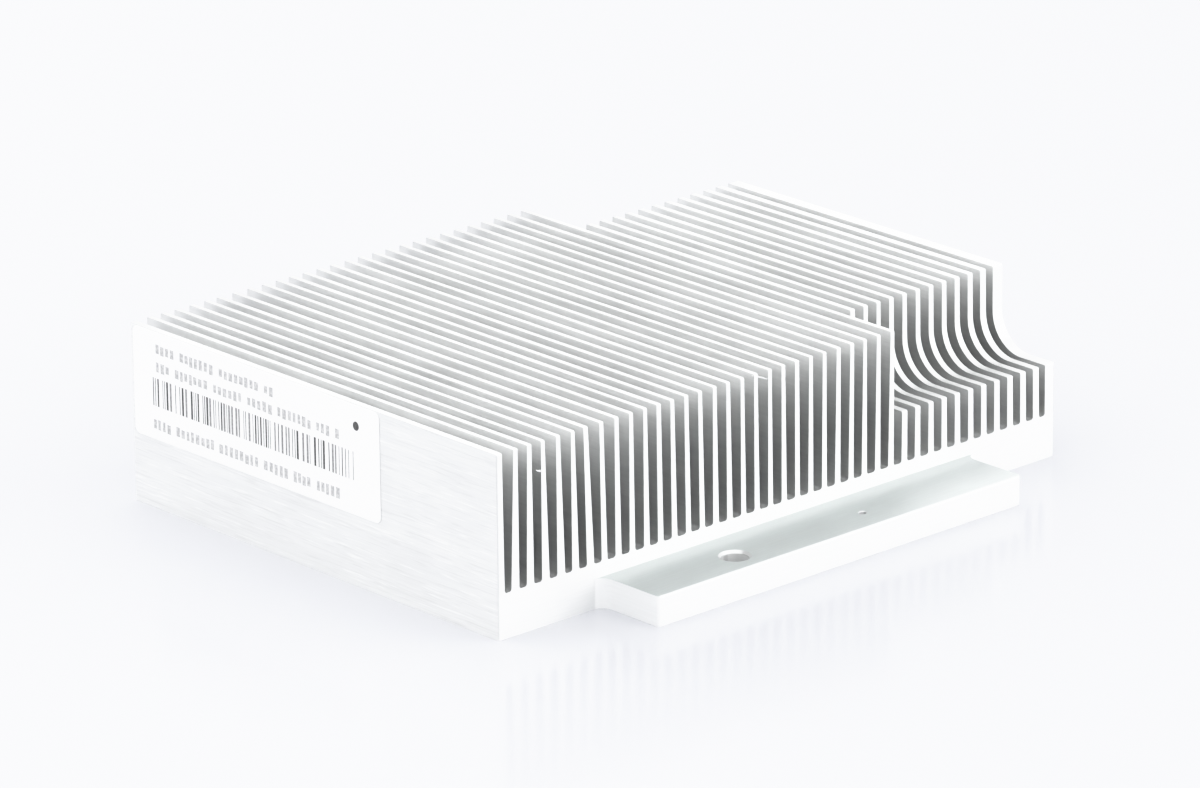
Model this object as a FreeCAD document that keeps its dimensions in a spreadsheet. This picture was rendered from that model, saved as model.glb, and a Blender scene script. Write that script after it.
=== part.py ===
import FreeCAD, Part
import math
import os
import Sketcher

# Passive server CPU heatsink: one extruded and machined aluminium body with
# 41 fins and a flange at each fin end, and a paper label on its side wall.
#
# Working axes of each body: X across the fins from the labelled side wall,
# Y along the fins from the near end, Z up from the underside. Each body's
# Placement then brings the origin to the middle of the whole part's footprint.

doc = FreeCAD.newDocument("Heatsink")
sheet = doc.addObject("Spreadsheet::Sheet", "Dimensions")

# ------------------------------------------------------------------ dimensions
# alias, value in mm, meaning
DIMENSIONS = (
    ("body_length", "106.1", "across the fins"),
    ("body_width", "76.9", "along the fins, without the flanges"),
    ("body_height", "26.5", "underside to fin tips"),
    ("wall_corner_radius", "0.2", "vertical corners of the base and outer fins"),
    ("tip_corner_radius", "0.25", "fin end to fin top"),
    ("slot_root_height", "6.6", "underside to slot root, the base thickness"),
    ("slot_mouth_height", "27", "level at which the slot mouths are given"),
    ("slot_root_radius", "0.42", "rounded root corners of a slot"),
    ("step_start", "74.7", "the stepped fins begin here, inside a slot"),
    ("step_setback_near", "10.5", "near end of the stepped fins"),
    ("step_setback_far", "11.5", "far end of the stepped fins"),
    ("step_floor_height", "14.2", "underside to the low shelf of a stepped fin"),
    ("step_radius", "5.7", "sweep from the low shelf into the upright end"),
    ("cut_margin", "2", "how far the cutting profiles run past the stock"),
    ("flange_start", "18.9", "first end of both flanges"),
    ("flange_end", "88.2", "second end of both flanges"),
    ("flange_reach", "11", "how far a flange stands out past the fin ends"),
    ("flange_thickness", "4.45", "underside to flange top"),
    ("flange_overlap", "3", "how far the flange profile runs into the base"),
    ("flange_root_radius", "1.9", "milled inside corner between flange and base"),
    ("flange_corner_radius", "0.5", "outer vertical corners of a flange"),
    ("flange_edge_radius", "0.3", "long outer top edge of a flange"),
    ("underside_break", "0.1", "chamfer round the underside"),
    ("guide_hole_offset", "37.2", "side wall to guide hole axis"),
    ("guide_hole_reach", "6.6", "fin ends to guide hole axis"),
    ("guide_hole_radius", "1.9", "clears a 3.5 mm guide pin"),
    ("guide_hole_break", "0.42", "chamfer round the guide hole mouth"),
    ("punch_offset", "61.65", "side wall to the punched locating mark"),
    ("punch_reach", "6.45", "fin ends to the punched locating mark"),
    ("punch_radius", "0.62", "rim of the punched locating mark"),
    ("punch_depth", "0.55", "depth of the punched locating mark"),
    ("label_thickness", "0.12", "paper and adhesive"),
    ("label_near", "23.7", "near edge of the label"),
    ("label_far", "76.3", "far edge of the label"),
    ("label_low", "10.4", "lower edge of the label"),
    ("label_high", "26.35", "upper edge of the label"),
    ("label_radius", "1", "corners of the label"),
)

# Slots between the fins, from the labelled side wall: left and right face at
# the root, then left and right face at the mouth level. The fins taper towards
# their tips, and the first few lean slightly, as the extrusion came out.
SLOTS = (
    ("1.14", "2.35", "0.97", "3.05"),
    ("3.78", "5.12", "3.76", "5.49"),
    ("6.42", "7.87", "6.24", "7.96"),
    ("9.23", "10.64", "8.59", "10.69"),
    ("12.04", "13.32", "11.35", "13.34"),
    ("14.57", "16.02", "13.98", "15.60"),
    ("17.32", "18.71", "16.37", "18.50"),
    ("19.75", "21.25", "19.19", "21.26"),
    ("22.33", "23.84", "21.97", "23.95"),
    ("24.86", "26.50", "24.62", "26.53"),
    ("27.54", "29.07", "27.19", "28.96"),
    ("30.09", "31.65", "29.74", "31.52"),
    ("32.67", "34.29", "32.21", "34.10"),
    ("35.25", "36.87", "34.81", "36.66"),
    ("37.83", "39.37", "37.37", "39.42"),
    ("40.45", "42.00", "40.07", "41.92"),
    ("43.03", "44.66", "42.61", "44.62"),
    ("45.59", "47.21", "45.25", "47.15"),
    ("48.17", "49.79", "47.80", "49.83"),
    ("50.70", "52.36", "50.47", "52.35"),
    ("53.33", "54.93", "53.03", "54.92"),
    ("55.85", "57.46", "55.68", "57.63"),
    ("58.41", "60.08", "58.31", "60.24"),
    ("61.04", "62.60", "60.91", "62.93"),
    ("63.63", "65.22", "63.67", "65.55"),
    ("66.20", "67.78", "66.26", "68.08"),
    ("68.81", "70.38", "68.71", "70.69"),
    ("71.41", "72.96", "71.39", "73.35"),
    ("74.02", "75.59", "74.07", "75.83"),
    ("76.69", "78.18", "76.70", "78.42"),
    ("79.27", "80.87", "79.21", "80.97"),
    ("81.94", "83.49", "81.70", "83.45"),
    ("84.58", "86.12", "84.30", "86.09"),
    ("87.22", "88.81", "86.90", "88.71"),
    ("89.85", "91.39", "89.54", "91.31"),
    ("92.48", "94.02", "92.19", "93.94"),
    ("95.14", "96.66", "94.79", "96.50"),
    ("97.82", "99.29", "97.43", "99.10"),
    ("100.45", "101.88", "100.06", "101.61"),
    ("103.09", "104.27", "102.72", "104.20"),
)
SLOT_COLUMNS = ("root_left", "root_right", "mouth_left", "mouth_right")

sheet.set("A1", "dimension")
sheet.set("B1", "mm")
sheet.set("C1", "meaning")
for row, (alias, number, meaning) in enumerate(DIMENSIONS, start=2):
    sheet.set("A%d" % row, alias)
    sheet.set("B%d" % row, number)
    sheet.set("C%d" % row, meaning)
    sheet.setAlias("B%d" % row, alias)
sheet.set("E1", "slot")
for column, title in zip("FGHI", SLOT_COLUMNS):
    sheet.set("%s1" % column, title)
for index, slot in enumerate(SLOTS, start=1):
    sheet.set("E%d" % (index + 1), "%d" % index)
    for column, title, number in zip("FGHI", SLOT_COLUMNS, slot):
        cell = "%s%d" % (column, index + 1)
        sheet.set(cell, number)
        sheet.setAlias(cell, "%s_%02d" % (title, index))
doc.recompute()


def dim(alias):
    return float(sheet.get(alias))


# --------------------------------------------------------------------- helpers
def origin_plane(body, role):
    for feature in body.Origin.OriginFeatures:
        if feature.Role == role:
            return feature
    raise RuntimeError("no plane %s" % role)


def new_sketch(body, name, role, offset=None):
    """Sketch on an origin plane; offset is an expression along its normal."""
    sketch = body.newObject("Sketcher::SketchObject", name)
    sketch.AttachmentSupport = [(origin_plane(body, role), "")]
    sketch.MapMode = "FlatFace"
    if offset:
        sketch.setExpression("AttachmentOffset.Base.z", offset)
    return sketch


def value_of(expression):
    """The number that a sheet expression of sums and differences stands for."""
    total = 0.0
    for term in expression.replace("-", "+-").split("+"):
        term = term.strip()
        if not term:
            continue
        sign = 1.0
        if term.startswith("-"):
            sign, term = -1.0, term[1:].strip()
        if term.startswith("Dimensions."):
            total += sign * dim(term[len("Dimensions."):])
        else:
            total += sign * float(term)
    return total


def d(text):
    """Expression text with every dimension name given its sheet."""
    out = []
    for word in text.split(" "):
        plain = word.replace(".", "", 1).isdigit()
        out.append(word if word in ("+", "-", "") or plain else "Dimensions." + word)
    return " ".join(out)


def outline(sketch, corners, tag):
    """Closed outline. A corner is (x, y, radius): the first two are sheet
    expressions, and radius is a sheet name for a tangent arc, or None for a
    sharp corner. Every corner's position and radius is a driven constraint."""
    n = len(corners)
    pts = [
        FreeCAD.Vector(value_of(d(c[0])), value_of(d(c[1])), 0) for c in corners
    ]
    tangents = []
    for i, (corner, p) in enumerate(zip(corners, pts)):
        if corner[2] is None:
            tangents.append((p, p, None))
            continue
        before = (pts[i - 1] - p).normalize()
        after = (pts[(i + 1) % n] - p).normalize()
        half = before.getAngle(after) / 2.0
        r = dim(corner[2])
        run = r / math.tan(half)
        middle = p + (before + after).normalize() * (r / math.sin(half))
        tangents.append((p + before * run, p + after * run, middle))
    lines = [
        sketch.addGeometry(
            Part.LineSegment(tangents[i][1], tangents[(i + 1) % n][0]), False
        )
        for i in range(n)
    ]
    rules = []
    named = []
    for i, (corner, p) in enumerate(zip(corners, pts)):
        into, out = lines[i - 1], lines[i]
        start, end, middle = tangents[i]
        if middle is None:
            rules.append(Sketcher.Constraint("Coincident", into, 2, out, 1))
            where = (out, 1)
        else:
            r = dim(corner[2])
            a0 = math.atan2(start.y - middle.y, start.x - middle.x)
            a1 = math.atan2(end.y - middle.y, end.x - middle.x)
            turn = (a1 - a0) % (2 * math.pi)
            ccw = turn < math.pi
            circle = Part.Circle(middle, FreeCAD.Vector(0, 0, 1), r)
            arc = Part.ArcOfCircle(circle, a0, a1) if ccw else Part.ArcOfCircle(circle, a1, a0)
            g = sketch.addGeometry(arc, False)
            first, last = (1, 2) if ccw else (2, 1)
            rules.append(Sketcher.Constraint("Tangent", into, 2, g, first))
            rules.append(Sketcher.Constraint("Tangent", g, last, out, 1))
            # the two sides meet, when extended, in a construction point
            apex = sketch.addGeometry(Part.Point(p), True)
            rules.append(Sketcher.Constraint("PointOnObject", apex, 1, into))
            rules.append(Sketcher.Constraint("PointOnObject", apex, 1, out))
            rules.append(Sketcher.Constraint("Radius", g, r))
            named.append((len(rules) - 1, "%s_r%d" % (tag, i), d(corner[2])))
            where = (apex, 1)
        rules.append(Sketcher.Constraint("DistanceX", -1, 1, where[0], where[1], p.x))
        named.append((len(rules) - 1, "%s_x%d" % (tag, i), d(corner[0])))
        rules.append(Sketcher.Constraint("DistanceY", -1, 1, where[0], where[1], p.y))
        named.append((len(rules) - 1, "%s_y%d" % (tag, i), d(corner[1])))
    base = len(sketch.Constraints)
    sketch.addConstraint(rules)
    for index, name, expression in named:
        sketch.renameConstraint(base + index, name)
        sketch.setExpression("Constraints." + name, expression)


def round_over(y, z, side, radius):
    """Cutting outline that rounds the outer top edge at (y, z) of the solid;
    side is -1 for an end that faces -Y and 1 for one that faces +Y."""
    out, back = (" - ", " + ") if side < 0 else (" + ", " - ")
    m = "cut_margin"
    return (
        (y, z + " - " + m, None),
        (y, z, radius),
        (y + back + m, z, None),
        (y + back + m, z + " + " + m, None),
        (y + out + m, z + " + " + m, None),
        (y + out + m, z + " - " + m, None),
    )


def circle_on(sketch, x, y, radius, tag):
    centre = FreeCAD.Vector(value_of(d(x)), value_of(d(y)), 0)
    g = sketch.addGeometry(
        Part.Circle(centre, FreeCAD.Vector(0, 0, 1), dim(radius)), False
    )
    base = len(sketch.Constraints)
    sketch.addConstraint(
        [
            Sketcher.Constraint("DistanceX", -1, 1, g, 3, centre.x),
            Sketcher.Constraint("DistanceY", -1, 1, g, 3, centre.y),
            Sketcher.Constraint("Radius", g, dim(radius)),
        ]
    )
    for offset, name, expression in (
        (0, tag + "_x", d(x)),
        (1, tag + "_y", d(y)),
        (2, tag + "_r", d(radius)),
    ):
        sketch.renameConstraint(base + offset, name)
        sketch.setExpression("Constraints." + name, expression)


def removed(feature, before, least, name):
    """Stop if a cutting feature has not taken away at least this volume."""
    doc.recompute()
    taken = before - feature.Shape.Volume
    if feature.Shape.isNull() or taken < least:
        raise RuntimeError("%s removed only %.3f mm3" % (name, taken))
    print("%s removed %.1f mm3" % (name, taken))
    return feature.Shape.Volume


# ---------------------------------------------------------------- heatsink body
body = doc.addObject("PartDesign::Body", "HeatsinkBody")
body.Label = "heatsink_body"

# the stock, cut from the extrusion: a block with slightly rounded upright edges
block_sketch = new_sketch(body, "BlockOutline", "XY_Plane")
outline(
    block_sketch,
    (
        ("0", "0", "wall_corner_radius"),
        ("body_length", "0", "wall_corner_radius"),
        ("body_length", "body_width", "wall_corner_radius"),
        ("0", "body_width", "wall_corner_radius"),
    ),
    "block",
)
block = body.newObject("PartDesign::Pad", "Block")
block.Profile = block_sketch
block.setExpression("Length", d("body_height"))
doc.recompute()
volume = block.Shape.Volume

# fin end to fin top: a small radius along both ends of the stock
ends_sketch = new_sketch(body, "TipCorners", "YZ_Plane")
outline(ends_sketch, round_over("0", "body_height", -1, "tip_corner_radius"), "near")
outline(
    ends_sketch, round_over("body_width", "body_height", 1, "tip_corner_radius"), "far"
)
ends = body.newObject("PartDesign::Pocket", "TipCornerCut")
ends.Profile = ends_sketch
ends.Type = "ThroughAll"
ends.SideType = "Symmetric"
volume = removed(ends, volume, 1, "tip corners")

# the last twelve fins are stepped at both ends: an upright end set back from
# the others, sweeping out into a low shelf that reaches the end of the base
step_sketch = new_sketch(body, "StepOutline", "YZ_Plane", d("step_start"))
outline(
    step_sketch,
    (
        ("0 - cut_margin", "step_floor_height - cut_margin", None),
        ("0", "step_floor_height - cut_margin", None),
        ("0", "step_floor_height", "tip_corner_radius"),
        ("step_setback_near", "step_floor_height", "step_radius"),
        ("step_setback_near", "body_height", "tip_corner_radius"),
        ("step_setback_near + cut_margin", "body_height", None),
        ("step_setback_near + cut_margin", "body_height + cut_margin", None),
        ("0 - cut_margin", "body_height + cut_margin", None),
    ),
    "near",
)
outline(
    step_sketch,
    (
        ("body_width + cut_margin", "step_floor_height - cut_margin", None),
        ("body_width + cut_margin", "body_height + cut_margin", None),
        (
            "body_width - step_setback_far - cut_margin",
            "body_height + cut_margin",
            None,
        ),
        ("body_width - step_setback_far - cut_margin", "body_height", None),
        ("body_width - step_setback_far", "body_height", "tip_corner_radius"),
        ("body_width - step_setback_far", "step_floor_height", "step_radius"),
        ("body_width", "step_floor_height", "tip_corner_radius"),
        ("body_width", "step_floor_height - cut_margin", None),
    ),
    "far",
)
step = body.newObject("PartDesign::Pocket", "StepCut")
step.Profile = step_sketch
step.Type = "ThroughAll"
step.Reversed = True
volume = removed(step, volume, 5000, "stepped ends")

# the forty slots between the forty-one fins
slot_sketch = new_sketch(body, "SlotOutlines", "XZ_Plane")
rules = []
named = []
low, high = dim("slot_root_height"), dim("slot_mouth_height")
for index, slot in enumerate(SLOTS, start=1):
    root_left, root_right, mouth_left, mouth_right = (float(n) for n in slot)
    corners = [
        FreeCAD.Vector(root_left, low, 0),
        FreeCAD.Vector(root_right, low, 0),
        FreeCAD.Vector(mouth_right, high, 0),
        FreeCAD.Vector(mouth_left, high, 0),
    ]
    ids = [
        slot_sketch.addGeometry(Part.LineSegment(corners[i], corners[(i + 1) % 4]), False)
        for i in range(4)
    ]
    for i in range(4):
        rules.append(Sketcher.Constraint("Coincident", ids[i - 1], 2, ids[i], 1))
    rules.append(Sketcher.Constraint("Horizontal", ids[0]))
    rules.append(Sketcher.Constraint("Horizontal", ids[2]))
    for i, title in ((0, "root_left"), (1, "root_right"), (2, "mouth_right"), (3, "mouth_left")):
        rules.append(Sketcher.Constraint("DistanceX", -1, 1, ids[i], 1, corners[i].x))
        name = "%s_%02d" % (title, index)
        named.append((len(rules) - 1, name, "Dimensions." + name))
    rules.append(Sketcher.Constraint("DistanceY", -1, 1, ids[0], 1, low))
    named.append((len(rules) - 1, "root_level_%02d" % index, d("slot_root_height")))
    rules.append(Sketcher.Constraint("DistanceY", -1, 1, ids[2], 1, high))
    named.append((len(rules) - 1, "mouth_level_%02d" % index, d("slot_mouth_height")))
slot_sketch.addConstraint(rules)
for index, name, expression in named:
    slot_sketch.renameConstraint(index, name)
    slot_sketch.setExpression("Constraints." + name, expression)
slots = body.newObject("PartDesign::Pocket", "SlotCut")
slots.Profile = slot_sketch
slots.Type = "ThroughAll"
slots.SideType = "Symmetric"
volume = removed(slots, volume, 70000, "slots")

# rounded slot roots
root_edges = []
for number, edge in enumerate(slots.Shape.Edges, start=1):
    box = edge.BoundBox
    if (
        abs(box.ZMin - dim("slot_root_height")) < 1e-4
        and abs(box.ZMax - dim("slot_root_height")) < 1e-4
        and box.YLength > dim("body_width") - 1.0
        and box.XLength < 1e-4
    ):
        root_edges.append("Edge%d" % number)
if len(root_edges) != 2 * len(SLOTS):
    raise RuntimeError("found %d slot root edges" % len(root_edges))
roots = body.newObject("PartDesign::Fillet", "SlotRoots")
roots.Base = (slots, root_edges)
roots.setExpression("Radius", d("slot_root_radius"))
doc.recompute()
volume = roots.Shape.Volume

# a flange at each fin end, with milled inside corners where it meets the base
flange_sketch = new_sketch(body, "FlangeOutlines", "XY_Plane")
outline(
    flange_sketch,
    (
        ("flange_start - flange_overlap", "0", None),
        ("flange_start", "0", "flange_root_radius"),
        ("flange_start", "0 - flange_reach", "flange_corner_radius"),
        ("flange_end", "0 - flange_reach", "flange_corner_radius"),
        ("flange_end", "0", "flange_root_radius"),
        ("flange_end + flange_overlap", "0", None),
        ("flange_end + flange_overlap", "0 + flange_overlap", None),
        ("flange_start - flange_overlap", "0 + flange_overlap", None),
    ),
    "near",
)
outline(
    flange_sketch,
    (
        ("flange_end + flange_overlap", "body_width", None),
        ("flange_end", "body_width", "flange_root_radius"),
        ("flange_end", "body_width + flange_reach", "flange_corner_radius"),
        ("flange_start", "body_width + flange_reach", "flange_corner_radius"),
        ("flange_start", "body_width", "flange_root_radius"),
        ("flange_start - flange_overlap", "body_width", None),
        ("flange_start - flange_overlap", "body_width - flange_overlap", None),
        ("flange_end + flange_overlap", "body_width - flange_overlap", None),
    ),
    "far",
)
flanges = body.newObject("PartDesign::Pad", "Flanges")
flanges.Profile = flange_sketch
flanges.setExpression("Length", d("flange_thickness"))
doc.recompute()
if flanges.Shape.Volume - volume < 5000:
    raise RuntimeError("the flanges added too little")
volume = flanges.Shape.Volume

# the long outer top edge of each flange is rounded
flange_edge_sketch = new_sketch(body, "FlangeEdges", "YZ_Plane")
outline(
    flange_edge_sketch,
    round_over("0 - flange_reach", "flange_thickness", -1, "flange_edge_radius"),
    "near",
)
outline(
    flange_edge_sketch,
    round_over(
        "body_width + flange_reach", "flange_thickness", 1, "flange_edge_radius"
    ),
    "far",
)
flange_edges = body.newObject("PartDesign::Pocket", "FlangeEdgeCut")
flange_edges.Profile = flange_edge_sketch
flange_edges.Type = "ThroughAll"
flange_edges.SideType = "Symmetric"
volume = removed(flange_edges, volume, 1, "flange edges")

# guide holes: through each flange, with a chamfered mouth
hole_sketch = new_sketch(body, "GuideHoleCircles", "XY_Plane")
circle_on(hole_sketch, "guide_hole_offset", "0 - guide_hole_reach", "guide_hole_radius", "near")
circle_on(
    hole_sketch,
    "guide_hole_offset",
    "body_width + guide_hole_reach",
    "guide_hole_radius",
    "far",
)
holes = body.newObject("PartDesign::Pocket", "GuideHoles")
holes.Profile = hole_sketch
holes.Type = "ThroughAll"
holes.SideType = "Symmetric"
volume = removed(holes, volume, 80, "guide holes")

mouths = []
for number, edge in enumerate(holes.Shape.Edges, start=1):
    box = edge.BoundBox
    if (
        abs(box.ZMin - dim("flange_thickness")) < 1e-3
        and abs(box.ZMax - dim("flange_thickness")) < 1e-3
        and abs(box.XLength - 2 * dim("guide_hole_radius")) < 1e-2
        and abs(box.YLength - 2 * dim("guide_hole_radius")) < 1e-2
    ):
        mouths.append("Edge%d" % number)
if len(mouths) != 2:
    raise RuntimeError("found %d guide hole mouths" % len(mouths))
mouth_break = body.newObject("PartDesign::Chamfer", "GuideHoleMouths")
mouth_break.Base = (holes, mouths)
mouth_break.setExpression("Size", d("guide_hole_break"))
volume = removed(mouth_break, volume, 1, "guide hole mouths")

# a punched locating mark in the near flange
punch = body.newObject("PartDesign::SubtractiveCone", "PunchMark")
punch.setExpression("Radius2", d("punch_radius"))
punch.Radius1 = 0.0
punch.setExpression("Height", d("punch_depth"))
punch.setExpression("Placement.Base.x", d("punch_offset"))
punch.setExpression("Placement.Base.y", d("0 - punch_reach"))
punch.setExpression("Placement.Base.z", d("flange_thickness - punch_depth"))
volume = removed(punch, volume, 0.1, "punch mark")

# break round the whole underside
underside = [f for f in punch.Shape.Faces if abs(f.BoundBox.ZMax) < 1e-6]
if len(underside) != 1:
    raise RuntimeError("found %d underside faces" % len(underside))
rim = underside[0].OuterWire.Edges
rim_names = []
for number, edge in enumerate(punch.Shape.Edges, start=1):
    if any(edge.isSame(other) for other in rim):
        rim_names.append("Edge%d" % number)
underside_break = body.newObject("PartDesign::Chamfer", "UndersideBreak")
underside_break.Base = (punch, rim_names)
underside_break.setExpression("Size", d("underside_break"))
volume = removed(underside_break, volume, 0.5, "underside break")
body.Tip = underside_break

# ------------------------------------------------------------------------ label
# thin paper label on the side wall, flush with the top of the first fin
label = doc.addObject("PartDesign::Body", "Label")
label.Label = "label"
label_sketch = new_sketch(label, "LabelOutline", "YZ_Plane")
outline(
    label_sketch,
    (
        ("label_near", "label_low", "label_radius"),
        ("label_far", "label_low", "label_radius"),
        ("label_far", "label_high", "label_radius"),
        ("label_near", "label_high", "label_radius"),
    ),
    "label",
)
paper = label.newObject("PartDesign::Pad", "Paper")
paper.Profile = label_sketch
paper.setExpression("Length", d("label_thickness"))
paper.Reversed = True
doc.recompute()
label.Tip = paper

# -------------------------------------------------------- common frame, export
# the origin is at the middle of the whole footprint, label included
for piece in (body, label):
    piece.setExpression(
        "Placement.Base.x",
        "(Dimensions.label_thickness - Dimensions.body_length) / 2",
    )
    piece.setExpression("Placement.Base.y", "-Dimensions.body_width / 2")
doc.recompute()

for item in doc.Objects:
    state = list(item.State)
    if "Invalid" in state or "Error" in state:
        raise RuntimeError("%s is %s" % (item.Name, state))
for piece in (body, label):
    shape = piece.Shape
    if shape.isNull() or not shape.isValid():
        raise RuntimeError("%s has no valid shape" % piece.Label)
    if len(shape.Solids) != 1:
        raise RuntimeError("%s has %d solids" % (piece.Label, len(shape.Solids)))

os.makedirs("parts", exist_ok=True)
for piece in (body, label):
    piece.Shape.exportStep(os.path.join("parts", piece.Label + ".step"))
    box = piece.Shape.BoundBox
    print(
        "%s  X %.3f..%.3f  Y %.3f..%.3f  Z %.3f..%.3f  volume %.1f mm3"
        % (
            piece.Label,
            box.XMin,
            box.XMax,
            box.YMin,
            box.YMax,
            box.ZMin,
            box.ZMax,
            piece.Shape.Volume,
        )
    )
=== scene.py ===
import math
import random

import bmesh
import bpy
from mathutils import Matrix, Vector


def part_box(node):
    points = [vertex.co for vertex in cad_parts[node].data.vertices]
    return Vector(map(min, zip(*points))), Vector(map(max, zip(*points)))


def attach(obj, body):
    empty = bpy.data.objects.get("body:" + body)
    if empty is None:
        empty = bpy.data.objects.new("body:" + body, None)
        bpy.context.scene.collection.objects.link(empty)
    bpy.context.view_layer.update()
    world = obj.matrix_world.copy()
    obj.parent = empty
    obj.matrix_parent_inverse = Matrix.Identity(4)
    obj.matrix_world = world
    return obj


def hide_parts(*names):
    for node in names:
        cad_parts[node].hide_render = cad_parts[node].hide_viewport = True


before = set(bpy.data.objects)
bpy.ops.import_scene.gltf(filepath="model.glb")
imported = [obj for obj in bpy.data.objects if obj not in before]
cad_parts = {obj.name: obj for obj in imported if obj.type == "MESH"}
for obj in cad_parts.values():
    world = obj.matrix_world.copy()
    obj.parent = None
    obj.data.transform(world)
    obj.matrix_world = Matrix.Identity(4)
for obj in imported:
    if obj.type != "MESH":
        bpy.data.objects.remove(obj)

MM = 0.001
SHOULDER = ((0.3, 0.3), (0.55, 0.55), (0.75, 0.74), (0.95, 0.88), (1.1, 0.95), (1.3, 0.985), (1.55, 0.998))
ROUGH = 0.50
ANISO = 0.8
SIDE = 0.4
GREY = 0.85
OUTER = 0.038
# painted shade at the far fin ends
FAR_END_SHADE = 0.16
# painted shade inside the guide holes and the punched mark
HOLE_SHADE = 0.32
MARK_SHADE = 0.5
SKY = 1.0
FRONT = 1.2
LEFT = 0.75
RIGHT = 2.05
OVER = 0.9
BACK = 0.7
FLOOR = 0.64
scene = bpy.context.scene
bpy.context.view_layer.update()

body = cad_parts["heatsink_body"]
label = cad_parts["label"]
b_lo, b_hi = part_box("heatsink_body")
l_lo, l_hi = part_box("label")

WALL_X = b_lo.x                      # outer face of the first fin
NEAR_Y = -0.03845                    # plane of the fin ends at the near side
FLOOR_Z = b_lo.z


def at(x, y, z):
    """A point given in mm from the side wall, the near fin ends and the floor."""
    return Vector((WALL_X + x * MM, NEAR_Y + y * MM, FLOOR_Z + z * MM))


# ------------------------------------------------------------- node helpers
class Nodes:
    def __init__(self, name):
        self.m = bpy.data.materials.new(name)
        self.m.use_nodes = True
        self.t = self.m.node_tree
        for n in list(self.t.nodes):
            self.t.nodes.remove(n)
        self.out = self.add("ShaderNodeOutputMaterial")
        self.bsdf = self.add("ShaderNodeBsdfPrincipled")
        self.link(self.bsdf.outputs[0], self.out.inputs["Surface"])

    def add(self, kind, **props):
        n = self.t.nodes.new(kind)
        for k, v in props.items():
            setattr(n, k, v)
        return n

    def link(self, a, b):
        self.t.links.new(a, b)

    def put(self, socket, value):
        if hasattr(value, "is_output") or isinstance(value, bpy.types.NodeSocket):
            self.link(value, socket)
        else:
            socket.default_value = value

    def math(self, op, a, b=0.0, clamp=False):
        n = self.add("ShaderNodeMath", operation=op, use_clamp=clamp)
        self.put(n.inputs[0], a)
        self.put(n.inputs[1], b)
        return n.outputs[0]

    def noise(self, vector, scale=(1, 1, 1), detail=3.0, rough=0.5, offset=(0, 0, 0), distortion=0.0):
        m = self.add("ShaderNodeMapping")
        m.inputs["Scale"].default_value = scale
        m.inputs["Location"].default_value = offset
        self.link(vector, m.inputs["Vector"])
        n = self.add("ShaderNodeTexNoise")
        n.inputs["Scale"].default_value = 1.0
        n.inputs["Detail"].default_value = detail
        n.inputs["Roughness"].default_value = rough
        n.inputs["Distortion"].default_value = distortion
        self.link(m.outputs[0], n.inputs["Vector"])
        return n.outputs["Fac"]

    def ramp(self, value, a, b, lo=0.0, hi=1.0):
        n = self.add("ShaderNodeMapRange")
        n.interpolation_type = "SMOOTHSTEP"
        n.inputs["From Min"].default_value = a
        n.inputs["From Max"].default_value = b
        n.inputs["To Min"].default_value = lo
        n.inputs["To Max"].default_value = hi
        self.put(n.inputs["Value"], value)
        return n.outputs[0]

    def mix(self, fac, a, b):
        n = self.add("ShaderNodeMix", data_type="RGBA")
        self.put(n.inputs["Factor"], fac)
        self.put(n.inputs["A"], a)
        self.put(n.inputs["B"], b)
        return n.outputs["Result"]

    def blend(self, fac, a, b):
        n = self.add("ShaderNodeMix", data_type="FLOAT")
        self.put(n.inputs["Factor"], fac)
        self.put(n.inputs["A"], a)
        self.put(n.inputs["B"], b)
        return n.outputs["Result"]

    def bump(self, height, strength, distance, normal=None):
        n = self.add("ShaderNodeBump")
        n.inputs["Strength"].default_value = strength
        n.inputs["Distance"].default_value = distance
        self.link(height, n.inputs["Height"])
        if normal is not None:
            self.link(normal, n.inputs["Normal"])
        return n.outputs[0]


def painted_hole_shade(k, place):
    """Painted shade: how much the metal is darkened inside the guide holes and the punched mark."""
    along = place.outputs["Y"]
    away = k.math("ABSOLUTE", along)

    def near_axis(x, y, measure, inner, outer):
        dx = k.math("SUBTRACT", place.outputs["X"], x)
        dy = k.math("SUBTRACT", measure, y)
        gap = k.math("SQRT", k.math("ADD", k.math("MULTIPLY", dx, dx), k.math("MULTIPLY", dy, dy)))
        return k.ramp(gap, inner, outer, 1.0, 0.0)

    bore_shade = near_axis(-0.01579, 0.04505, away, 0.00191, 0.00200)
    mark = near_axis(0.00866, -0.04490, along, 0.00045, 0.00058)
    return k.math("ADD", k.math("MULTIPLY", bore_shade, HOLE_SHADE), k.math("MULTIPLY", mark, MARK_SHADE))


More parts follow.
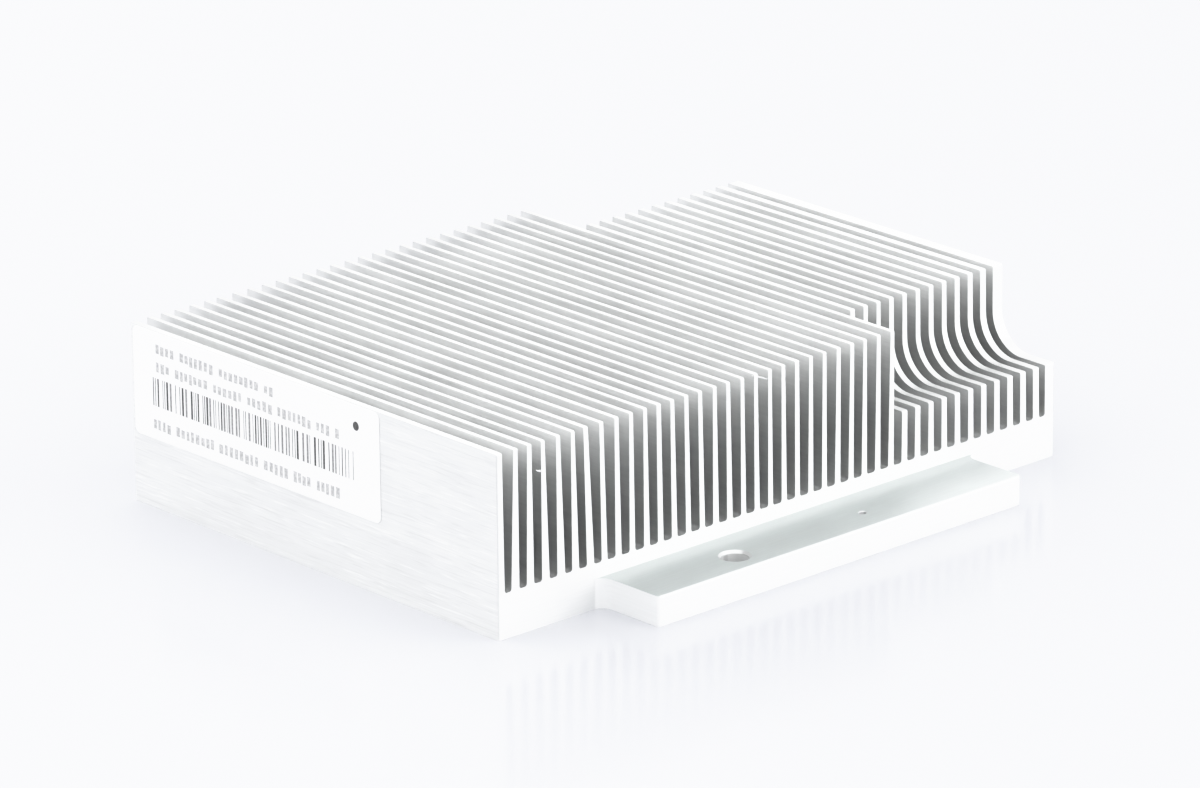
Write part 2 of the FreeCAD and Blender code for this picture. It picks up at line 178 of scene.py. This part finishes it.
def aluminium():
    """Bare extruded aluminium: long drawing lines along the fins on every
    extruded face, cutter marks along X on the sawn and milled ends."""
    k = Nodes("bare_aluminium")
    pos = k.add("ShaderNodeTexCoord").outputs["Object"]
    place = k.add("ShaderNodeSeparateXYZ")
    k.link(pos, place.inputs[0])
    normal = k.add("ShaderNodeNewGeometry").outputs["Normal"]
    split = k.add("ShaderNodeSeparateXYZ")
    k.link(normal, split.inputs[0])
    facing_y = k.ramp(k.math("ABSOLUTE", split.outputs["Y"]), 0.55, 0.85)
    facing_up = k.ramp(split.outputs["Z"], 0.75, 0.9)
    low_down = k.ramp(place.outputs["Z"], 0.0048, 0.0056, 1.0, 0.0)
    milled = k.math("MAXIMUM", facing_y, k.math("MULTIPLY", facing_up, low_down))

    # the upright ends and inside corners of the flanges, cut by the flank of
    # a milling cutter
    beyond = k.ramp(k.math("ABSOLUTE", place.outputs["Y"]), 0.03846, 0.03852)
    upright = k.ramp(k.math("ABSOLUTE", split.outputs["Z"]), 0.4, 0.6, 1.0, 0.0)
    turned = k.ramp(k.math("ABSOLUTE", split.outputs["X"]), 0.1, 0.3)
    side_milled = k.math("MULTIPLY", k.math("MULTIPLY", beyond, upright), turned)

    # the lay of the surface: along Y as extruded, along X where sawn, upright
    # where side milled
    rest = k.math("SUBTRACT", 1.0, side_milled)
    lay = k.add("ShaderNodeCombineXYZ")
    k.link(k.math("MULTIPLY", facing_y, rest), lay.inputs[0])
    k.link(k.math("MULTIPLY", k.math("SUBTRACT", 1.0, facing_y), rest), lay.inputs[1])
    k.link(side_milled, lay.inputs[2])
    across = k.add("ShaderNodeVectorMath", operation="CROSS_PRODUCT")
    k.link(normal, across.inputs[0])
    k.link(lay.outputs[0], across.inputs[1])
    k.link(across.outputs[0], k.bsdf.inputs["Tangent"])
    k.bsdf.inputs["Anisotropic"].default_value = ANISO

    # drawing lines: long along Y, fine across
    fine = k.noise(pos, (5200, 90, 5200), 4.0, 0.6)
    broad = k.noise(pos, (1500, 34, 1500), 3.0, 0.55, (3.1, 0.4, 7.7))
    # cutter marks on the ends: long along X, fine in Z
    cut = k.noise(pos, (160, 3000, 4200), 3.0, 0.6, (1.7, 5.2, 0.3))
    # broad handling and oxide cloud
    cloud = k.noise(pos, (70, 70, 110), 3.0, 0.55, (9.4, 2.2, 5.1))
    speck = k.noise(pos, (2600, 2600, 2600), 2.0, 0.7, (2.0, 8.0, 4.0))

    lines = k.blend(0.45, fine, broad)
    height = k.blend(milled, lines, cut)

    light = k.blend(
        milled,
        k.ramp(lines, 0.30, 0.72, -0.045, 0.03),
        k.ramp(cut, 0.3, 0.7, -0.02, 0.015),
    )
    # oxide cloud tone; painted shade and painted highlights are added to it below
    oxide_and_painted_light = k.ramp(cloud, 0.3, 0.7, -0.02, 0.02)
    # fine short hairlines, and a duller tone, on the two outer side walls
    facing_x = k.ramp(k.math("ABSOLUTE", split.outputs["X"]), 0.8, 0.95)
    outer = k.math("MULTIPLY", k.ramp(k.math("ABSOLUTE", place.outputs["X"]), 0.0525, 0.0529), facing_x)
    dark_hair = k.ramp(k.noise(pos, (1, 150, 3300), 3.0, 0.55, (5.5, 3.3, 8.1), 0.15), 0.50, 0.72)
    long_hair = k.ramp(k.noise(pos, (1, 48, 3900), 2.0, 0.5, (8.5, 1.3, 4.4), 0.10), 0.60, 0.75)
    pale_hair = k.ramp(k.noise(pos, (1, 190, 3700), 2.0, 0.5, (2.6, 6.1, 1.9), 0.15), 0.55, 0.75)
    hair = k.math(
        "SUBTRACT",
        k.math("MULTIPLY", pale_hair, 0.09),
        k.math("ADD", k.math("MULTIPLY", dark_hair, 0.075), k.math("MULTIPLY", long_hair, 0.05)),
    )
    oxide_and_painted_light = k.math("ADD", oxide_and_painted_light, k.math("MULTIPLY", outer, k.math("SUBTRACT", hair, OUTER)))
    # painted shade: the fins are darkened over their last few millimetres at the far side,
    # which come sooner above the shelf of the stepped fins
    stepped = k.math("MULTIPLY", k.ramp(place.outputs["X"], 0.0212, 0.0216), k.ramp(place.outputs["Z"], 0.015, 0.020))
    run = k.math("ADD", place.outputs["Y"], k.math("MULTIPLY", stepped, 0.009))
    far_end_shade = k.ramp(run, 0.028, 0.0385, 0.0, FAR_END_SHADE)
    for keep in (facing_y, outer, low_down):
        far_end_shade = k.math("MULTIPLY", far_end_shade, k.math("SUBTRACT", 1.0, keep))
    oxide_and_painted_light = k.math("SUBTRACT", oxide_and_painted_light, far_end_shade)
    # the flange tops are milled to a cooler grey; painted highlight: their upright sides are brightened
    flange_top = k.math("MULTIPLY", facing_up, low_down)
    oxide_and_painted_light = k.math("ADD", oxide_and_painted_light, k.math("MULTIPLY", side_milled, 0.14))
    # painted highlight: the base ends below the fins are brightened
    base_ends = k.math("MULTIPLY", facing_y, k.ramp(place.outputs["Z"], 0.0060, 0.0072, 1.0, 0.0))
    oxide_and_painted_light = k.math("ADD", oxide_and_painted_light, k.math("MULTIPLY", base_ends, 0.05))
    # painted shade: the flange tops are darkened in the corner under the fins
    corner_shade = k.ramp(k.math("ABSOLUTE", place.outputs["Y"]), 0.0385, 0.0425, 0.08, 0.0)
    oxide_and_painted_light = k.math("SUBTRACT", oxide_and_painted_light, k.math("MULTIPLY", flange_top, corner_shade))
    # painted shade inside the guide holes and the punched mark
    oxide_and_painted_light = k.math("SUBTRACT", oxide_and_painted_light, painted_hole_shade(k, place))
    tone = k.math("ADD", k.math("ADD", light, oxide_and_painted_light), GREY, clamp=True)
    pale = k.add("ShaderNodeCombineColor")
    k.link(k.math("MULTIPLY", tone, k.blend(flange_top, 0.994, 0.955)), pale.inputs[0])
    k.link(tone, pale.inputs[1])
    k.link(k.math("MULTIPLY", tone, k.blend(flange_top, 0.995, 0.99)), pale.inputs[2])
    k.link(pale.outputs[0], k.bsdf.inputs["Base Color"])
    # side milled metal is frosted, and the sawn base ends a little
    frosted = k.math("MAXIMUM", k.math("MULTIPLY", side_milled, 0.9), k.math("MULTIPLY", base_ends, 0.35))
    k.link(k.math("SUBTRACT", 1.0, frosted), k.bsdf.inputs["Metallic"])
    rough = k.math(
        "ADD",
        k.blend(milled, k.ramp(lines, 0.3, 0.7, ROUGH - 0.06, ROUGH + 0.06), k.ramp(cut, 0.3, 0.7, ROUGH - 0.02, ROUGH + 0.08)),
        k.ramp(cloud, 0.3, 0.7, -0.03, 0.03),
    )
    rough = k.blend(side_milled, rough, SIDE)
    k.link(rough, k.bsdf.inputs["Roughness"])
    n1 = k.bump(height, 0.35, 0.00004)
    n2 = k.bump(speck, 0.10, 0.00002, n1)
    k.link(n2, k.bsdf.inputs["Normal"])
    return k.m


def paper():
    k = Nodes("label_stock")
    pos = k.add("ShaderNodeTexCoord").outputs["Object"]
    fibre = k.noise(pos, (2500, 1400, 1900), 4.0, 0.6)
    wave = k.noise(pos, (90, 60, 60), 2.0, 0.5, (4.2, 1.2, 0.1))
    tone = k.ramp(fibre, 0.3, 0.7, 0.975, 0.995)
    c = k.add("ShaderNodeCombineColor")
    k.link(tone, c.inputs[0])
    k.link(tone, c.inputs[1])
    k.link(tone, c.inputs[2])
    k.link(c.outputs[0], k.bsdf.inputs["Base Color"])
    k.link(k.ramp(fibre, 0.3, 0.7, 0.42, 0.55), k.bsdf.inputs["Roughness"])
    n1 = k.bump(wave, 0.5, 0.00006)
    k.link(k.bump(fibre, 0.15, 0.00001, n1), k.bsdf.inputs["Normal"])
    return k.m


def ink(name, grey, spread):
    k = Nodes(name)
    pos = k.add("ShaderNodeTexCoord").outputs["Object"]
    wear = k.noise(pos, (3000, 3000, 3000), 3.0, 0.6)
    tone = k.ramp(wear, 0.35, 0.7, grey, grey + spread)
    c = k.add("ShaderNodeCombineColor")
    k.link(tone, c.inputs[0])
    k.link(tone, c.inputs[1])
    k.link(tone, c.inputs[2])
    k.link(c.outputs[0], k.bsdf.inputs["Base Color"])
    k.bsdf.inputs["Roughness"].default_value = 0.5
    return k.m


# ---------------------------------------------------------------- the metal
metal = aluminium()
body.data.materials.clear()
body.data.materials.append(metal)

edge_break = body.modifiers.new("edge_break", "BEVEL")
edge_break.limit_method = "ANGLE"
edge_break.angle_limit = math.radians(50)
edge_break.width = 0.07 * MM
edge_break.segments = 2
edge_break.use_clamp_overlap = True
edge_break.harden_normals = False


# ---------------------------------------------------------------- the label
def mesh_piece(name, bm, material):
    me = bpy.data.meshes.new(name)
    bm.normal_update()
    bm.to_mesh(me)
    bm.free()
    o = bpy.data.objects.new(name, me)
    scene.collection.objects.link(o)
    me.materials.append(material)
    return o


def rounded_outline(y0, y1, z0, z1, r, steps=8):
    pts = []
    for cy, cz, a0 in (
        (y1 - r, z1 - r, 0),
        (y0 + r, z1 - r, 90),
        (y0 + r, z0 + r, 180),
        (y1 - r, z0 + r, 270),
    ):
        for i in range(steps + 1):
            a = math.radians(a0 + 90 * i / steps)
            pts.append((cy + r * math.cos(a), cz + r * math.sin(a)))
    return pts


STOCK = 0.10 * MM                    # paper and adhesive, under the print
outline = rounded_outline(l_lo.y, l_hi.y, l_lo.z, l_hi.z, 1.0 * MM)
bm = bmesh.new()
back = [bm.verts.new((WALL_X, y, z)) for y, z in outline]
front = [bm.verts.new((WALL_X - STOCK, y, z)) for y, z in outline]
bm.faces.new(front)
bm.faces.new(list(reversed(back)))
n = len(outline)
for i in range(n):
    j = (i + 1) % n
    bm.faces.new((back[i], back[j], front[j], front[i]))
bmesh.ops.recalc_face_normals(bm, faces=bm.faces[:])
stock = mesh_piece("label_stock", bm, paper())
soft_edge = stock.modifiers.new("soft_edge", "BEVEL")
soft_edge.limit_method = "ANGLE"
soft_edge.angle_limit = math.radians(50)
soft_edge.width = 0.03 * MM
soft_edge.segments = 2
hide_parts("label")
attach(stock, "root")

INK_LOW = WALL_X - STOCK + 0.002 * MM
INK_TOP = WALL_X - STOCK - 0.008 * MM


def print_piece(name, marks, material):
    """Flat marks on the label; each is a list of (y, z) points in mm."""
    bm = bmesh.new()
    for mark in marks:
        top = [bm.verts.new((INK_TOP, NEAR_Y + y * MM, FLOOR_Z + z * MM)) for y, z in mark]
        low = [bm.verts.new((INK_LOW, NEAR_Y + y * MM, FLOOR_Z + z * MM)) for y, z in mark]
        bm.faces.new(top)
        bm.faces.new(list(reversed(low)))
        m = len(mark)
        for i in range(m):
            j = (i + 1) % m
            bm.faces.new((low[i], low[j], top[j], top[i]))
    bmesh.ops.recalc_face_normals(bm, faces=bm.faces[:])
    o = mesh_piece(name, bm, material)
    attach(o, "root")
    return o


def bar(y_left, width, z0, z1):
    """A bar that starts at y_left and runs towards the near edge."""
    return [(y_left, z0), (y_left, z1), (y_left - width, z1), (y_left - width, z0)]


rng = random.Random(41)
bars, pale_bars = [], []
y = 72.1
while y > 29.2:
    w = rng.choice((0.14, 0.14, 0.18, 0.18, 0.3, 0.4))
    (bars if rng.random() < 0.45 else pale_bars).append(bar(y, w, 15.4, 19.55))
    y -= w + rng.choice((0.24, 0.28, 0.36, 0.5, 0.8))
black = ink("ink_black", 0.05, 0.06)
print_piece("label_bars", bars, black)
print_piece("label_pale_bars", pale_bars, ink("ink_grey", 0.22, 0.15))


def greeked(y_start, y_end, z0, z1, seed):
    """A row of plain blocks where a line of small print would be."""
    r = random.Random(seed)
    marks = []
    y = y_start
    while y > y_end + 1.0:
        word = r.randint(3, 8)
        for _ in range(word):
            if y < y_end + 0.9:
                break
            w = r.uniform(0.55, 0.82)
            marks.append(bar(y, w, z0 + r.uniform(0, 0.3), z1 - r.uniform(0, 0.3)))
            y -= w + r.uniform(0.3, 0.45)
        y -= 0.9
    return marks


pale_ink = ink("ink_pale", 0.42, 0.25)
rows = (
    greeked(71.3, 45.6, 23.0, 24.6, 1)
    + greeked(71.3, 31.7, 20.4, 22.0, 2)
    + greeked(72.1, 31.2, 11.8, 13.5, 4)
)
print_piece("label_rows", rows, pale_ink)
dot = [
    (28.5 + 0.62 * math.cos(math.radians(a)), 23.35 + 0.66 * math.sin(math.radians(a)))
    for a in range(0, 360, 15)
]
print_piece("label_dot", [dot], black)


# --------------------------------------------------------------- small burrs
def burr(name, base, tip, width, thick, taper=0.6):
    """A raised sliver of metal from base towards tip."""
    axis = (tip - base)
    length = axis.length
    axis.normalize()
    side = axis.cross(Vector((0, 1, 0))).normalized()
    other = axis.cross(side).normalized()
    bm = bmesh.new()
    rings = []
    r = random.Random(name)
    steps = 7
    for i in range(steps + 1):
        t = i / steps
        s = (1 - t) ** taper
        sag = math.sin(math.pi * t) * width * 0.12
        c = base + axis * (length * t) + side * (r.uniform(-0.05, 0.05) * width + sag)
        ring = []
        for j in range(8):
            a = 2 * math.pi * j / 8
            ring.append(
                bm.verts.new(
                    c
                    + side * (math.cos(a) * width * 0.5 * max(s, 0.15))
                    + other * (math.sin(a) * thick * 0.5 * max(s, 0.15))
                )
            )
        rings.append(ring)
    for a, b in zip(rings, rings[1:]):
        for j in range(8):
            k = (j + 1) % 8
            bm.faces.new((a[j], a[k], b[k], b[j]))
    bm.faces.new(list(reversed(rings[0])))
    bm.faces.new(rings[-1])
    bmesh.ops.recalc_face_normals(bm, faces=bm.faces[:])
    o = mesh_piece(name, bm, metal)
    for p in o.data.polygons:
        p.use_smooth = True
    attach(o, "root")
    return o


burr("burr_fourth_fin", at(8.4, 0.22, 22.15), at(7.05, 0.12, 22.6), 0.5 * MM, 0.36 * MM)
burr("burr_nineteenth_fin", at(47.1, 0.32, 26.2), at(50.0, 0.22, 25.05), 0.30 * MM, 0.4 * MM, 0.2)


# ------------------------------------------------------------------- floor
def floor_material():
    k = Nodes("studio_floor")
    pos = k.add("ShaderNodeTexCoord").outputs["Object"]
    soft = k.noise(pos, (3, 3, 3), 2.0, 0.5)
    tone = k.ramp(soft, 0.3, 0.7, FLOOR, FLOOR + 0.01)
    c = k.add("ShaderNodeCombineColor")
    k.link(k.math("MULTIPLY", tone, 0.935), c.inputs[0])
    k.link(k.math("MULTIPLY", tone, 0.945), c.inputs[1])
    k.link(tone, c.inputs[2])
    k.link(c.outputs[0], k.bsdf.inputs["Base Color"])
    k.bsdf.inputs["Roughness"].default_value = 0.15
    k.bsdf.inputs["Specular IOR Level"].default_value = 0.27
    return k.m


bm = bmesh.new()
bmesh.ops.create_grid(bm, x_segments=1, y_segments=1, size=4.0)
floor = mesh_piece("floor", bm, floor_material())
floor.location.z = FLOOR_Z + 0.09 * MM

# ------------------------------------------------------------------- light
# A white tent, open on all sides, brighter to the left, right and overhead.
world = bpy.data.worlds.new("studio")
scene.world = world
world.use_nodes = True
tree = world.node_tree
background = tree.nodes.get("Background")
background.inputs["Color"].default_value = (0.985, 0.99, 1.0, 1.0)
sky_at = tree.nodes.new("ShaderNodeTexCoord").outputs["Generated"]


def toward(direction, a, b, lo, hi):
    dot = tree.nodes.new("ShaderNodeVectorMath")
    dot.operation = "DOT_PRODUCT"
    tree.links.new(sky_at, dot.inputs[0])
    dot.inputs[1].default_value = Vector(direction).normalized()
    n = tree.nodes.new("ShaderNodeMapRange")
    n.interpolation_type = "SMOOTHSTEP"
    n.inputs["From Min"].default_value = a
    n.inputs["From Max"].default_value = b
    n.inputs["To Min"].default_value = lo
    n.inputs["To Max"].default_value = hi
    tree.links.new(dot.outputs["Value"], n.inputs["Value"])
    return n.outputs[0]


def combine(op, a, b):
    n = tree.nodes.new("ShaderNodeMath")
    n.operation = op
    for socket, v in zip(n.inputs, (a, b)):
        if isinstance(v, float):
            socket.default_value = v
        else:
            tree.links.new(v, socket)
    return n.outputs[0]


gap = toward((-0.67, -0.74, 0.25), 0.25, 0.95, 1.0, FRONT)
parts = (
    toward((-0.67, 0.74, 0.1), 0.45, 0.98, 0.0, LEFT),
    toward((0.67, -0.74, 0.1), 0.72, 0.985, 0.0, RIGHT),
    toward((0.0, 0.70, 0.71), 0.60, 0.98, 0.0, BACK),
    toward((0.0, 0.0, 1.0), 0.45, 0.95, 0.0, OVER),
)
glow = combine("MULTIPLY", gap, SKY)
for part in parts:
    glow = combine("ADD", glow, part)
tree.links.new(glow, background.inputs["Strength"])


# ------------------------------------------------------------------ camera
data = bpy.data.cameras.new("camera")
data.sensor_fit = "HORIZONTAL"
data.sensor_width = 36.0
data.lens = 217.53
data.clip_start, data.clip_end = 0.05, 50.0
camera = bpy.data.objects.new("camera", data)
scene.collection.objects.link(camera)
right = Vector((0.7372318, -0.6755799, -0.0090021))
up = Vector((0.2282801, 0.2365279, 0.9444272))
behind = Vector((-0.6359068, -0.6983168, 0.3285974))
turn = Matrix((right, up, behind)).transposed().to_4x4()
camera.matrix_world = Matrix.Translation((-0.65131642, -0.71599095, 0.34938225)) @ turn
scene.camera = camera

scene.cycles.max_bounces = 16
scene.cycles.glossy_bounces = 12
scene.cycles.diffuse_bounces = 6

scene.view_settings.view_transform = "Standard"
scene.view_settings.look = "None"
scene.view_settings.exposure = 0.0
scene.view_settings.gamma = 1.0
# a soft shoulder, so that the pale metal keeps some tone beside a white floor
scene.view_settings.use_curve_mapping = True
tone_curve = scene.view_settings.curve_mapping
tone_curve.white_level = (2.0, 2.0, 2.0)
shape = tone_curve.curves[3]
for x, y in SHOULDER:
    shape.points.new(x / 2.0, y)
tone_curve.update()

bpy.context.view_layer.update()
